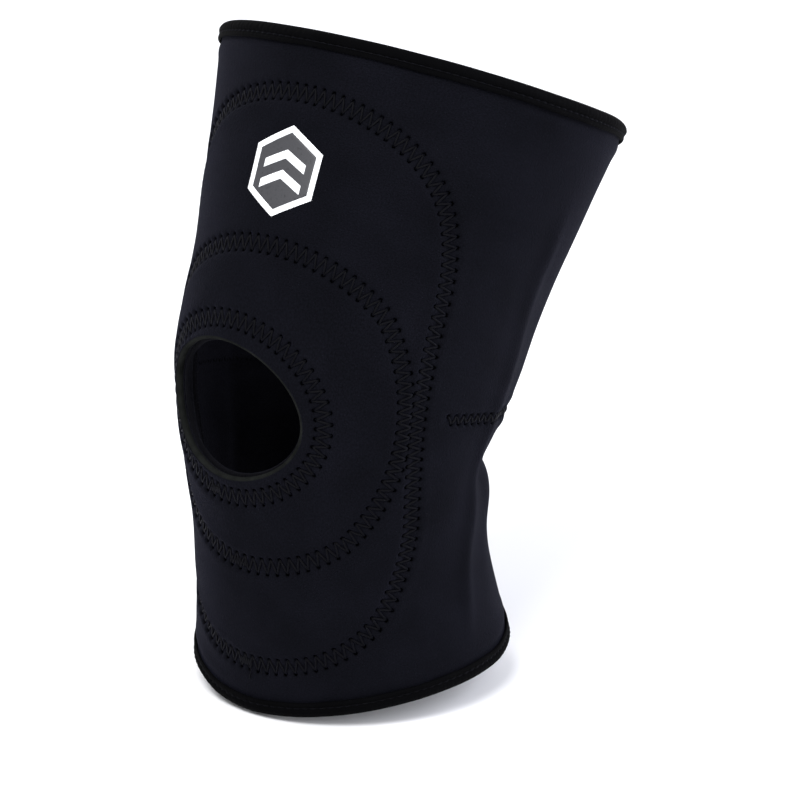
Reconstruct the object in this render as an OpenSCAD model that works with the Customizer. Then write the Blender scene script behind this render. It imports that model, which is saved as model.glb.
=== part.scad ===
// Pull-on knee sleeve with an open kneecap window, in the shape that it takes on a slightly bent leg.
// +Z is up, the front of the knee faces -Y, and the origin is where the knee bends.
// "along" is a distance up the leg's centre line from the origin, negative towards the foot.
// "around" is an angle round the leg, 0 at the front and growing towards +X.
// "depth" is a distance from the sleeve's outside towards the leg.

/* [Fit on the leg] */
// Outside radius at the thigh rim
thigh_rim_radius = 77; // [68:1:84]
// Outside radius at the calf rim
calf_rim_radius = 60; // [54:1:66]
// Outside half width at the kneecap
knee_half_width = 65; // [60:1:70]
// Length of the leg's centre line above the knee
thigh_length = 128; // [120:1:150]
// Length of the leg's centre line below the knee
calf_length = 100; // [96:1:120]
// Lean of the thigh back from upright, in degrees
thigh_lean = 26; // [20:1:30]
// Lean of the shin back from upright, in degrees
shin_lean = 9; // [6:1:14]
// How far the crease behind the knee is pressed in
crease_depth = 3; // [0:0.5:4]

/* [Laminate] */
// Thickness of each knitted skin
skin_thick = 0.4; // [0.3:0.05:0.6]
// Thickness of the foamed rubber core
foam_thick = 2.4; // [2:0.1:3]
// Thickness of the inner reinforcement panel
panel_thick = 2.5; // [1.5:0.1:3]
// Thickness of the kneecap pad between shell and panel
pad_thick = 2; // [1:0.1:3]

/* [Kneecap window] */
// Half width of the window through the shell, stretched round the leg
window_half_width = 35; // [32:0.5:36]
// Half height of the window through the shell
window_half_height = 27; // [25:0.5:29]
// How far the reinforcement panel reaches into the window
panel_reach = 1; // [0.5:0.5:4]

/* [Bindings and stitches] */
// Height of the folded binding at each rim
binding_width = 7; // [6:0.5:7.5]
// Thickness of the binding tape
tape_thick = 0.8; // [0.5:0.1:1]
// Distance from one zigzag point to the next on the same side
stitch_pitch = 4; // [3.5:0.1:6]
// Half the swing of the thread from side to side
stitch_swing = 1.6; // [1.2:0.1:1.7]

/* [Emblem] */
// Distance across the corners of the emblem
emblem_across = 35; // [25:1:38]
// Height of the emblem's centre, along the leg
emblem_along = 74; // [68:1:78]

/* [Hidden] */

FABRIC = [0.10, 0.10, 0.15];
FOAM = [0.22, 0.22, 0.24];
THREAD = [0.03, 0.03, 0.04];
TAPE = [0.05, 0.05, 0.07];
PRINT = [0.86, 0.87, 0.88];

// Rows of [half width, half depth, shift to the back], evenly spaced from the calf rim to the thigh rim
SECTIONS = [
    [calf_rim_radius, calf_rim_radius, -7],
    [56, 57, -7],
    [60, 57, -3],
    [knee_half_width, 65, -3],
    [66, 71, -2],
    [73, 72, -2],
    [thigh_rim_radius, thigh_rim_radius, 2]];

// The last stretch at each rim is a straight round tube, which the binding folds over
rim_straight = 8;
bend_half = 30;
bend_radius = 2 * bend_half * 180 / PI / (thigh_lean + shin_lean);
middle_lean = (thigh_lean - shin_lean) / 2;
crease_along = -14;
crease_spread = 16;
crease_reference = 60;
crease_start = 0.35;

// Layers, from the outside in, with a thin bond line between them
bond = 0.05;
panel_gap = 0.4;
foam_depth = skin_thick + bond;
lining_depth = foam_depth + foam_thick + bond;
laminate = lining_depth + skin_thick;
panel_depth = laminate + panel_gap;
pad_edge_thick = 0.5;

// Columns round the leg, and rings up the leg that are closest where the knee bends
COLUMNS = 40;
UPPER_RINGS = [-90, -78, -66, -54, -44, -35, -28, -22, -16, -10, -4, 3, 11, 20, 30, 42, 56, 72, 86, 98, 109];
LOWER_RINGS = [-44, -54, -64, -74, -84];
cut_rim_gap = 2.9;
thigh_rim_rings = [thigh_length - rim_straight, thigh_length - cut_rim_gap];
calf_rim_rings = [-calf_length + rim_straight, -calf_length + cut_rim_gap];

// The sleeve bends on a round joint line about the knee axis, below split_top: the thigh part lies inside it
split_radius = 85;
split_gap = 0.3;
split_top = -25;
split_width = 240;
split_height = 125;
split_margin = 1.5;

// Rows of zigzag thread stand just clear of the face fabric
thread_reach = 1.5;
thread_lift = 0.25;
thread_top = 0.75;
binding_thread_radius = 0.35;
binding_thread_drop = 5.6;

// Room for the laminate in the folded tape
slack_outside = 0.15;
slack_inside = 0.3;
channel = laminate + slack_outside + slack_inside;

// Rounds about the window and the kneecap, as [around, along] of the middle and then half sizes
WINDOW_PLACE = [-11.5, 1.2];
PANEL_START = [[-10, 1], [17, 9]];
INNER_LOOP = [[-10, 1], [39.5, 21]];
MIDDLE_LOOP = [[0, 3], [57, 43]];

// Corners of the window's edge, as turns that keep clear of the joins between columns and rings
WINDOW_TURNS = [2:5:357];
window_cut_length = 50;

// Where the pad starts, is full and ends, as shares of the way from the inner loop to the middle one
PAD_START = 0.3;
PAD_FULL = [0.48, 0.62];
PAD_END = 0.8;
OUTER_HALF_AROUND = 62.5;
OUTER_TOP = [40, 64];
OUTER_BOTTOM = [-25, 55];
OUTER_BOTTOM_SQUARENESS = 0.83;
OUTER_TURNS = [60, 114];
panel_margin = 3.5;
PANEL_TURNS = 40;

DART_ALONG = 5;
DART_START = 75;
DART_END = 175.5;

function clamp(value, low, high) = min(max(value, low), high);
function unit(v) = v / norm(v);

// Centre line of the leg
function lean_at(along) = middle_lean + clamp(along, -bend_half, bend_half) / bend_radius * 180 / PI;
function centre_y(along) =
    bend_radius * (cos(middle_lean) - cos(lean_at(along)))
    + (along - clamp(along, -bend_half, bend_half)) * sin(lean_at(along));
function centre_z(along) =
    bend_radius * (sin(lean_at(along)) - sin(middle_lean))
    + (along - clamp(along, -bend_half, bend_half)) * cos(lean_at(along));

// Smooth curve through four rows, from the second to the third
function through(a, b, c, d, f) =
    (2 * b + (c - a) * f + (2 * a - 5 * b + 4 * c - d) * f * f + (3 * b - a - 3 * c + d) * f * f * f) / 2;
function section_row(i) =
    i < 0 ? 2 * SECTIONS[0] - SECTIONS[1]
    : i > len(SECTIONS) - 1 ? 2 * SECTIONS[len(SECTIONS) - 1] - SECTIONS[len(SECTIONS) - 2]
    : SECTIONS[i];
function section_at(along) =
    let (last = len(SECTIONS) - 1)
    let (start = -calf_length + rim_straight)
    let (end = thigh_length - rim_straight)
    let (u = clamp((along - start) / (end - start), 0, 1) * last)
    let (i = min(floor(u), last - 1))
    through(section_row(i - 1), section_row(i), section_row(i + 1), section_row(i + 2), u - i);

// The crease draws the back of the sleeve in, and fades out before the front
function crease_factor(along, around) =
    1 - crease_depth / crease_reference * exp(-pow((along - crease_along) / crease_spread, 2))
    * clamp(crease_start - cos(around), 0, 1);

// A point of the sleeve, and the outward direction there
function on_sleeve(place, depth = 0) =
    let (around = place[0])
    let (along = place[1])
    let (row = section_at(along))
    let (draw = crease_factor(along, around))
    let (back = row[2] - (row[1] * draw - depth) * cos(around))
    let (lean = lean_at(along))
    [(row[0] * draw - depth) * sin(around),
        centre_y(along) + back * cos(lean),
        centre_z(along) - back * sin(lean)];
function outward(place) =
    let (point = on_sleeve(place))
    unit(cross(on_sleeve(place + [0.5, 0]) - point, on_sleeve(place + [0, 0.5]) - point));

// Rounds about the window: turn is 0 at the top and grows clockwise as seen from the front
function oval(loop, turn) = [loop[0][0] + loop[1][0] * sin(turn), loop[0][1] + loop[1][1] * cos(turn)];
function between_loops(share, turn) = oval(INNER_LOOP, turn) * (1 - share) + oval(MIDDLE_LOOP, turn) * share;
function outer_right(turn, margin) =
    let (half = OUTER_HALF_AROUND + margin)
    let (side_share = (turn - OUTER_TURNS[0]) / (OUTER_TURNS[1] - OUTER_TURNS[0]))
    let (top = turn * 90 / OUTER_TURNS[0])
    let (corner = clamp((turn - OUTER_TURNS[1]) / (180 - OUTER_TURNS[1]) * 90, 0, 90))
    side_share < 0
    ? [half * sin(top), OUTER_TOP[0] + (OUTER_TOP[1] + margin) * cos(top)]
    : side_share < 1
    ? [half, OUTER_TOP[0] + (OUTER_BOTTOM[0] - OUTER_TOP[0]) * side_share]
    : [half * pow(max(cos(corner), 0), OUTER_BOTTOM_SQUARENESS),
        OUTER_BOTTOM[0] - (OUTER_BOTTOM[1] + margin * 0.7) * pow(sin(corner), OUTER_BOTTOM_SQUARENESS)];
function outer_loop(turn, margin = 0) =
    let (right = outer_right(turn > 180 ? 360 - turn : turn, margin))
    turn > 180 ? [-right[0], right[1]] : right;

// Closed solid between two grids of points, open or wrapped round across its columns
module between(outer, inner, wrapped) {
    rows = len(outer);
    columns = len(outer[0]);
    count = rows * columns;
    points = [for (grid = [outer, inner]) for (row = grid) for (point = row) point];
    last = wrapped ? columns - 1 : columns - 2;
    quads = [
        for (i = [0:rows - 2]) for (j = [0:last])
            let (a = i * columns + j)
            let (b = i * columns + (j + 1) % columns)
            each [[a, a + columns, b + columns, b],
                [count + a, count + b, count + b + columns, count + a + columns]],
        for (j = [0:last])
            let (b = (j + 1) % columns)
            let (top = (rows - 1) * columns)
            each [[j, b, count + b, count + j], [top + b, top + j, count + top + j, count + top + b]],
        if (!wrapped) for (i = [0:rows - 2])
            let (a = i * columns)
            let (b = a + columns - 1)
            each [[a + columns, a, count + a, count + a + columns],
                [b, b + columns, count + b + columns, count + b]]];
    polyhedron(points, [for (q = quads) each [[q[0], q[1], q[2]], [q[0], q[2], q[3]]]], convexity = 8);
}

// One ply of the tube, between two depths
module tube_ply(rings, from, to) {
    turns = [for (j = [0:COLUMNS - 1]) j * 360 / COLUMNS];
    between([for (along = rings) [for (around = turns) on_sleeve([around, along], from)]],
        [for (along = rings) [for (around = turns) on_sleeve([around, along], to)]], true);
}

// One ply laid in rounds about the window, with its own two depths at each round
module round_ply(rounds, from, to) {
    last = len(rounds) - 1;
    between([for (i = [0:last]) [for (place = rounds[i]) on_sleeve(place, from[i])]],
        [for (i = [0:last]) [for (place = rounds[i]) on_sleeve(place, to[i])]], true);
}
PANEL_STEPS = [for (j = [0:PANEL_TURNS - 1]) j * 360 / PANEL_TURNS];
function round_places(share) = [for (turn = PANEL_STEPS) between_loops(share, turn)];
function edge_places(share) =
    [for (turn = PANEL_STEPS)
        between_loops(PAD_END, turn) * (1 - share) + outer_loop(turn, panel_margin) * share];

// Straight oval hole through the front, square to the sleeve at the window
module window_cutter(inset) {
    lean = lean_at(WINDOW_PLACE[1]);
    translate(on_sleeve(WINDOW_PLACE))
        rotate([-lean, 0, 0]) rotate([0, 0, WINDOW_PLACE[0]]) rotate([90, 0, 0])
        linear_extrude(height = window_cut_length, center = true)
            polygon([for (turn = WINDOW_TURNS)
                [(window_half_width - inset) * sin(turn), (window_half_height - inset) * cos(turn)]]);
}

// The calf's side of the joint line, outside a round about the knee axis
module calf_side(radius) {
    difference() {
        translate([-split_width / 2, -split_width / 2, split_top - split_height])
            cube([split_width, split_width, split_height]);
        rotate([0, 90, 0]) cylinder(r = radius, h = split_width, center = true, $fn = 180);
    }
}
module above_split() {
    difference() {
        children();
        calf_side(split_radius - split_gap / 2);
    }
}
module below_split() {
    intersection() {
        children();
        calf_side(split_radius + split_gap / 2);
    }
}
function is_above(place) =
    let (point = on_sleeve(place))
    point[2] > split_top || norm([point[1], point[2]]) < split_radius - split_margin;
function is_below(place) =
    let (point = on_sleeve(place))
    point[2] < split_top && norm([point[1], point[2]]) > split_radius + split_margin;

// A shell ply of the upper piece, and of the lower piece
module upper_ply(from, to) {
    above_split() difference() {
        tube_ply(concat(UPPER_RINGS, thigh_rim_rings), from, to);
        window_cutter(0);
    }
}
module lower_ply(from, to) {
    rings = concat(LOWER_RINGS, calf_rim_rings);
    below_split() tube_ply([for (i = [len(rings) - 1:-1:0]) rings[i]], from, to);
}

// Reinforcement panel, which steps in over the kneecap pad
module panel() {
    rounds = concat([[for (turn = PANEL_STEPS) oval(PANEL_START, turn)], round_places(0)],
        [for (share = [PAD_START, each PAD_FULL, PAD_END]) round_places(share)],
        [for (share = [0.35, 0.7, 1]) edge_places(share)]);
    edge = panel_depth + pad_edge_thick + bond;
    full = panel_depth + pad_thick + bond;
    tops = [panel_depth, panel_depth, edge, full, full, edge, panel_depth, panel_depth, panel_depth];
    difference() {
        round_ply(rounds, tops, [for (top = tops) top + panel_thick]);
        window_cutter(panel_reach);
    }
}

// Zigzag thread along a route of [around, along] places, evenly stepped by its real length
function route_table(places) =
    let (points = [for (place = places) on_sleeve(place)])
    [for (i = 0, total = 0; i < len(places);
        total = total + (i < len(places) - 1 ? norm(points[i + 1] - points[i]) : 0), i = i + 1) [total, i]];
function place_at(places, index) =
    let (i = clamp(floor(index), 0, len(places) - 2))
    places[i] + (places[i + 1] - places[i]) * (index - i);
module zigzag(places, closed = false) {
    table = route_table(places);
    total = table[len(table) - 1][0];
    stitches = 2 * round(total / stitch_pitch);
    last = closed ? stitches - 1 : stitches;
    rows = [for (k = [0:last])
        let (index = lookup(total * k / stitches, table))
        let (here = place_at(places, index))
        let (middle = on_sleeve(here))
        let (out = outward(here))
        let (step = index < len(places) - 2 ? 0.2 : -0.2)
        let (onward = unit(on_sleeve(place_at(places, index + step)) - middle) * sign(step))
        let (side = cross(out, onward))
        let (swing = stitch_swing * (k % 2 == 0 ? 1 : -1))
        [for (corner = [[-1, thread_lift], [1, thread_lift], [1, thread_top], [-1, thread_top]])
            middle + side * (swing + corner[0] * thread_reach / 2) + out * corner[1]]];
    count = len(rows);
    quads = [
        for (k = [0:closed ? count - 1 : count - 2]) for (c = [0:3])
            let (a = 4 * k)
            let (b = 4 * ((k + 1) % count))
            [a + c, b + c, b + (c + 1) % 4, a + (c + 1) % 4],
        if (!closed) each [[0, 1, 2, 3], [4 * count - 1, 4 * count - 2, 4 * count - 3, 4 * count - 4]]];
    polyhedron([for (row = rows) each row], [for (q = quads) each [[q[0], q[1], q[2]], [q[0], q[2], q[3]]]],
        convexity = 8);
}

// Folded tape round a rim, drawn in the rim's own frame with the rim at z = 0
function channel_middle(rim_radius) = rim_radius + slack_outside - channel / 2;
module folded_outline(middle, half, drop, tail) {
    translate([middle, -drop - half]) circle(r = half, $fn = 48);
    translate([middle - half, -binding_width - tail]) square([2 * half, binding_width + tail - drop - half]);
}
module binding(rim_radius) {
    middle = channel_middle(rim_radius);
    rotate_extrude($fn = 120) difference() {
        folded_outline(middle, channel / 2 + tape_thick, 0, 0);
        folded_outline(middle, channel / 2, tape_thick, 1);
    }
}
module binding_thread(rim_radius) {
    reach = rim_radius + slack_outside + tape_thick + binding_thread_radius + bond;
    translate([0, 0, -binding_thread_drop]) rotate_extrude($fn = 120)
        translate([reach, 0]) circle(r = binding_thread_radius, $fn = 16);
}
module at_rim(along, flip) {
    row = section_at(along);
    lean = lean_at(along);
    translate([0, centre_y(along) + row[2] * cos(lean), centre_z(along) - row[2] * sin(lean)])
        rotate([flip ? 180 - lean : -lean, 0, 0]) children();
}

// Whole routes of the stitched rows
OUTER_ROUTE = [for (turn = [0:3:360]) outer_loop(turn)];
OUTER_ROUTE_FROM_FOOT = [for (turn = [180:3:540]) outer_loop(turn % 360)];
BACK_ROUTE = [for (along = [thigh_length - 9:-4:-calf_length + 8]) [180, along]];
DART_ROUTE = [for (around = [DART_START:(DART_END - DART_START) / 30:DART_END]) [around, DART_ALONG]];

module face_fabric_upper() { color(FABRIC) upper_ply(0, skin_thick); }
module foam_core_upper() { color(FOAM) upper_ply(foam_depth, foam_depth + foam_thick); }
module lining_upper() { color(FABRIC) upper_ply(lining_depth, laminate); }
module reinforcement_upper() { color(FABRIC * 0.8) above_split() panel(); }
module kneecap_pad() {
    edge = panel_depth + pad_edge_thick;
    full = panel_depth + pad_thick;
    rounds = [for (share = [PAD_START, each PAD_FULL, PAD_END]) round_places(share)];
    color(FOAM) round_ply(rounds, [for (places = rounds) panel_depth], [edge, full, full, edge]);
}
module thigh_binding() { color(TAPE) at_rim(thigh_length, false) binding(thigh_rim_radius); }
module thigh_binding_stitching() {
    color(THREAD) at_rim(thigh_length, false) binding_thread(thigh_rim_radius);
}
module outer_loop_stitching_upper() {
    color(THREAD) zigzag([for (place = OUTER_ROUTE_FROM_FOOT) if (is_above(place)) place]);
}
module middle_loop_stitching() {
    color(THREAD) zigzag([for (turn = [0:4:360]) oval(MIDDLE_LOOP, turn)], true);
}
module inner_loop_stitching() {
    color(THREAD) zigzag([for (turn = [0:4:360]) oval(INNER_LOOP, turn)], true);
}
module back_seam_stitching_upper() { color(THREAD) zigzag([for (p = BACK_ROUTE) if (is_above(p)) p]); }
module dart_stitching_left() { color(THREAD) zigzag([for (place = DART_ROUTE) [-place[0], place[1]]]); }
module dart_stitching_right() { color(THREAD) zigzag(DART_ROUTE); }
module emblem() {
    half = emblem_across / 2;
    middle = on_sleeve([0, emblem_along]);
    arounds = [for (i = [-4:4]) i * half * 0.25];
    alongs = [for (i = [-4:4]) emblem_along + i * half * 0.3];
    color(PRINT) intersection() {
        between([for (along = alongs) [for (around = arounds) on_sleeve([around, along], -thread_top)]],
            [for (along = alongs) [for (around = arounds) on_sleeve([around, along], -thread_lift)]], false);
        translate(middle) rotate([90 - lean_at(emblem_along), 0, 0])
            linear_extrude(height = 30, center = true)
                polygon([for (i = [0:5]) half * [cos(60 * i + 30), sin(60 * i + 30)]]);
    }
}
module face_fabric_lower() { color(FABRIC) lower_ply(0, skin_thick); }
module foam_core_lower() { color(FOAM) lower_ply(foam_depth, foam_depth + foam_thick); }
module lining_lower() { color(FABRIC) lower_ply(lining_depth, laminate); }
module reinforcement_lower() { color(FABRIC * 0.8) below_split() panel(); }
module calf_binding() { color(TAPE) at_rim(-calf_length, true) binding(calf_rim_radius); }
module calf_binding_stitching() {
    color(THREAD) at_rim(-calf_length, true) binding_thread(calf_rim_radius);
}
module outer_loop_stitching_lower() {
    color(THREAD) zigzag([for (place = OUTER_ROUTE) if (is_below(place)) place]);
}
module back_seam_stitching_lower() { color(THREAD) zigzag([for (p = BACK_ROUTE) if (is_below(p)) p]); }

face_fabric_upper();
foam_core_upper();
lining_upper();
reinforcement_upper();
kneecap_pad();
thigh_binding();
thigh_binding_stitching();
outer_loop_stitching_upper();
middle_loop_stitching();
inner_loop_stitching();
back_seam_stitching_upper();
dart_stitching_left();
dart_stitching_right();
emblem();
face_fabric_lower();
foam_core_lower();
lining_lower();
reinforcement_lower();
calf_binding();
calf_binding_stitching();
outer_loop_stitching_lower();
back_seam_stitching_lower();
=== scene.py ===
"""Looks of the knee sleeve: one continuous stretched sleeve, its inner panel and pad, bindings and threads.

Places on the sleeve are (around, along): degrees round the leg from the front, growing towards +X, and
millimetres up the leg's centre line from the knee. Shapes are worked out in millimetres and made in metres.
"""

import math

import bmesh
import bpy
import numpy as np
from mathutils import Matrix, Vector, kdtree


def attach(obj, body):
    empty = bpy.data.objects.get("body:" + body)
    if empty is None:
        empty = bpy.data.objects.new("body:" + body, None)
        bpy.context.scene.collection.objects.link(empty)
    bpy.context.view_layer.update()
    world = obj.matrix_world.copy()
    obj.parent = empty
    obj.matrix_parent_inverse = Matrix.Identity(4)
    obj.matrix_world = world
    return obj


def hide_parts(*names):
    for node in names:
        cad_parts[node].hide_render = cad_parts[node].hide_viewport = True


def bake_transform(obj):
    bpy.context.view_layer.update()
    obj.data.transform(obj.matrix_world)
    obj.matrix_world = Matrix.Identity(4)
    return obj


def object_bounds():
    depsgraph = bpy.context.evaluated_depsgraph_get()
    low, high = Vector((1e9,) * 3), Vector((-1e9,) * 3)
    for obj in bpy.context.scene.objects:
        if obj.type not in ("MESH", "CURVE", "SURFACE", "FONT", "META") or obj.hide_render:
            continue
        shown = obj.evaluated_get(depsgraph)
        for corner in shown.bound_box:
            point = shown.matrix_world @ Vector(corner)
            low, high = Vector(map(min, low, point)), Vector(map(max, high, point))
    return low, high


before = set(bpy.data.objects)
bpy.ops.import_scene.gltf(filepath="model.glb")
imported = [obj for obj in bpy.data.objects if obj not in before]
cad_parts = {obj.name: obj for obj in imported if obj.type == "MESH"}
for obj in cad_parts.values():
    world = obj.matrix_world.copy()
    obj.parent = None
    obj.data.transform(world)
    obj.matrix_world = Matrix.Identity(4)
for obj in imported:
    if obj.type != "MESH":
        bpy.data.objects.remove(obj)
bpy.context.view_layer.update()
MM = 0.001

# ---------------- the leg's form: the CAD model's, with worn rims
THIGH_LENGTH, CALF_LENGTH = 128.0, 100.0
THIGH_LEAN, SHIN_LEAN = math.radians(26), math.radians(9)
BEND_HALF = 30.0
BEND_RADIUS = 2 * BEND_HALF / (THIGH_LEAN + SHIN_LEAN)
MIDDLE_LEAN = (THIGH_LEAN - SHIN_LEAN) / 2
RIM_STRAIGHT = 8.0
# The worn rims' pull and flare are set about this turn
WORN_TURN = 36.0
SECTIONS = np.array(
    [[60, 60, -7], [56, 57, -7], [60, 57, -3], [65, 65, -3], [66, 71, -2], [73, 72, -2], [77, 77, 2]], float
)
CREASE_DEPTH, CREASE_REFERENCE, CREASE_ALONG, CREASE_SPREAD = 3.0, 60.0, -14.0, 16.0

# Layers, as depths below the sleeve's outside
FACE = (0.0, 0.4)
FOAM = (0.42, 2.86)
LINING = (2.88, 3.3)
PANEL_TOP, PANEL_THICK, PAD_THICK = 3.55, 2.5, 2.0

# Window, and the rounds about it and the kneecap as [around, along] of the middle and then half sizes
WINDOW_PLACE, WINDOW_HALVES, PANEL_REACH = np.array([-11.5, 1.2]), np.array([35.0, 27.0]), 1.0
INNER_LOOP = np.array([[-10.0, 1.0], [39.5, 21.0]])
MIDDLE_LOOP = np.array([[0.0, 3.0], [57.5, 43.0]])
PAD_START, PAD_FULL, PAD_END = 0.3, (0.48, 0.62), 0.8
OUTER_HALF_AROUND, OUTER_TOP, OUTER_BOTTOM, OUTER_SQUARENESS = 62.5, (40, 64), (-25, 55), 0.83
# Turns where the outer loop's straight side starts and ends
SIDE_START, SIDE_END = 60.0, 114.0
PANEL_MARGIN = 3.5
FRONT_HALF_AROUND = 70.0
DART_ALONG, DART_START = 5.0, 75.0


def clamp(value, low, high):
    """The value, held between low and high."""
    return np.minimum(np.maximum(value, low), high)


def smooth(value, low, high):
    """A soft step from 0 at low to 1 at high."""
    t = clamp((value - low) / (high - low), 0, 1)
    return t * t * (3 - 2 * t)


def bell(value, spread):
    """1 at value 0, falling off over the spread."""
    return np.exp(-((value / spread) ** 2))


def from_front(around):
    """Degrees from the front, -180 to 180."""
    return (around + 180) % 360 - 180


def unit(vectors):
    return vectors / np.linalg.norm(vectors, axis=-1, keepdims=True)


def reach_along(points):
    """How far along a line each of its points lies."""
    return np.concatenate([[0], np.cumsum(np.linalg.norm(np.diff(points, axis=0), axis=1))])


def section_at(along):
    """Half width, half depth and shift to the back, on a smooth curve through SECTIONS."""
    start, end = -CALF_LENGTH + RIM_STRAIGHT, THIGH_LENGTH - RIM_STRAIGHT
    u = clamp((along - start) / (end - start), 0, 1) * (len(SECTIONS) - 1)
    i = np.minimum(np.floor(u).astype(int), len(SECTIONS) - 2)
    f = (u - i)[..., None]
    rows = np.vstack([2 * SECTIONS[0] - SECTIONS[1], SECTIONS, 2 * SECTIONS[-1] - SECTIONS[-2]])
    a, b, c, d = rows[i], rows[i + 1], rows[i + 2], rows[i + 3]
    return (2 * b + (c - a) * f + (2 * a - 5 * b + 4 * c - d) * f**2 + (3 * b - a - 3 * c + d) * f**3) / 2


def lean_at(along):
    return MIDDLE_LEAN + clamp(along, -BEND_HALF, BEND_HALF) / BEND_RADIUS


def rim_pull(around, along):
    """How far the cloth is pulled up the leg near the rims, which ride higher at two sides when worn."""
    turn = np.radians(around - WORN_TURN)
    left = clamp(-np.sin(turn), 0, 1)
    top = (2.6 - 1.2 * left) * np.sin(turn) ** 4 * smooth(along, 70, THIGH_LENGTH)
    foot = -3.0 * np.sin(turn) * np.abs(np.sin(turn)) ** 5 + 1.8 * bell(from_front(around) - 60, 32)
    foot -= 2.2 * bell(from_front(around) + 18, 30)
    return top + foot * (1 - smooth(along, -CALF_LENGTH, -55))


def on_leg(places):
    """Points of the plain sleeve at places, an array of (around, along)."""
    around, along = np.radians(places[..., 0]), places[..., 1]
    row = section_at(along)
    left = clamp(-np.sin(around - math.radians(WORN_TURN)), 0, 1) ** 2
    flare = 1.0 * smooth(along, 95, THIGH_LENGTH) + 4.6 * left * smooth(along, 72, THIGH_LENGTH)
    crease = bell(along - CREASE_ALONG, CREASE_SPREAD) * clamp(0.35 - np.cos(around), 0, 1)
    draw = 1 - CREASE_DEPTH / CREASE_REFERENCE * crease
    along = along + rim_pull(places[..., 0], along)
    lean, past = lean_at(along), along - clamp(along, -BEND_HALF, BEND_HALF)
    back = row[..., 2] - row[..., 1] * draw * np.cos(around)
    y = BEND_RADIUS * (math.cos(MIDDLE_LEAN) - np.cos(lean)) + past * np.sin(lean)
    z = BEND_RADIUS * (np.sin(lean) - math.sin(MIDDLE_LEAN)) + past * np.cos(lean)
    x = (row[..., 0] * draw + flare) * np.sin(around)
    return np.stack([x, y + back * np.cos(lean), z - back * np.sin(lean)], -1)


def outward(places):
    """Outward directions of the plain sleeve."""
    across = on_leg(places + [0.4, 0]) - on_leg(places - [0.4, 0])
    up = on_leg(places + [0, 0.4]) - on_leg(places - [0, 0.4])
    return unit(np.cross(across, up))


def raised(places, rise):
    """Points at places, moved outwards from the plain sleeve by rise."""
    return on_leg(places) + outward(places) * rise[:, None]


# ---------------- curves drawn on the sleeve
def oval(loop, turns):
    turns = np.radians(turns)
    return loop[0] + loop[1] * np.stack([np.sin(turns), np.cos(turns)], -1)


def between_loops(share, turns):
    return oval(INNER_LOOP, turns) * (1 - share) + oval(MIDDLE_LOOP, turns) * share


def outer_round(turns, margin=0.0):
    """The egg-shaped outer loop: turns run clockwise from the top, in degrees."""
    turns = np.asarray(turns, float) % 360
    side = np.where(turns > 180, -1.0, 1.0)
    t = np.where(turns > 180, 360 - turns, turns)
    top = np.radians(np.minimum(t, SIDE_START) * 90 / SIDE_START)
    corner = np.radians(clamp((t - SIDE_END) / (180 - SIDE_END) * 90, 0, 90))
    half = OUTER_HALF_AROUND + margin
    around = np.where(t < SIDE_START, half * np.sin(top), half)
    along = np.where(
        t < SIDE_START,
        OUTER_TOP[0] + (OUTER_TOP[1] + margin) * np.cos(top),
        OUTER_TOP[0] + (OUTER_BOTTOM[0] - OUTER_TOP[0]) * (t - SIDE_START) / (SIDE_END - SIDE_START),
    )
    low = t >= SIDE_END
    around = np.where(low, half * np.maximum(np.cos(corner), 0) ** OUTER_SQUARENESS, around)
    fall = (OUTER_BOTTOM[1] + 0.7 * margin) * np.maximum(np.sin(corner), 0) ** OUTER_SQUARENESS
    along = np.where(low, OUTER_BOTTOM[0] - fall, along)
    return np.stack([side * around, along], -1)


def on_window_plane(places):
    """Where places lie in the flat frame that is square to the sleeve at the window, in millimetres."""
    lean, around = float(lean_at(WINDOW_PLACE[1])), math.radians(WINDOW_PLACE[0])
    side = np.array([math.cos(around), math.sin(around) * math.cos(lean), -math.sin(around) * math.sin(lean)])
    up = np.array([0, math.sin(lean), math.cos(lean)])
    offset = on_leg(places) - on_leg(WINDOW_PLACE)
    return np.stack([offset @ side, offset @ up], -1)


def window_places(inset, turns):
    """Places of the oval hole, made smaller by inset."""
    turns = np.radians(turns)
    goal = (WINDOW_HALVES - inset) * np.stack([np.sin(turns), np.cos(turns)], -1)
    places = WINDOW_PLACE + goal * [0.9, 0.6]
    for _ in range(40):
        places = places + (goal - on_window_plane(places)) * [0.7, 0.45]
    return places


def window_turns(places):
    """The turn round the window's oval that each place faces."""
    flat = on_window_plane(places) / WINDOW_HALVES
    return np.degrees(np.arctan2(flat[..., 0], flat[..., 1]))


def evenly(places, count, closed=True):
    """Places along a curve, evenly spaced by real length. Returns them and the spacing."""
    if closed:
        places = np.vstack([places, places[:1]])
    reach = reach_along(on_leg(places))
    wanted = np.arange(count if closed else count + 1) * reach[-1] / count
    return np.stack([np.interp(wanted, reach, places[:, i]) for i in (0, 1)], -1), reach[-1] / count


TURNS = np.linspace(0, 360, 721)[:-1]
CURVES = {
    "inner": oval(INNER_LOOP, TURNS),
    "middle": oval(MIDDLE_LOOP, TURNS),
    "outer": outer_round(TURNS),
}
BACK_ENDS = (THIGH_LENGTH - 8.5, -CALF_LENGTH + 8.5)
DART_AROUNDS = np.linspace(DART_START, 360 - DART_START, 300)
OPEN_CURVES = {
    "back_seam": np.stack([np.full(300, 180.0), np.linspace(*BACK_ENDS, 300)], -1),
    "dart": np.stack([DART_AROUNDS, np.full(300, DART_ALONG)], -1),
}
STITCH_STEP, STITCH_SWING, DART_SWING = 2.05, 3.0, 1.6


def swing_of(name):
    return DART_SWING if name == "dart" else STITCH_SWING


ROWS = {}
for row_name, curve in {**CURVES, **OPEN_CURVES}.items():
    row_closed = row_name in CURVES
    _, length = evenly(curve, 1, row_closed)
    legs = 2 * round(length / STITCH_STEP / 2)
    row_places, _ = evenly(curve, legs, row_closed)
    ROWS[row_name] = (row_places, row_closed)


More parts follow.
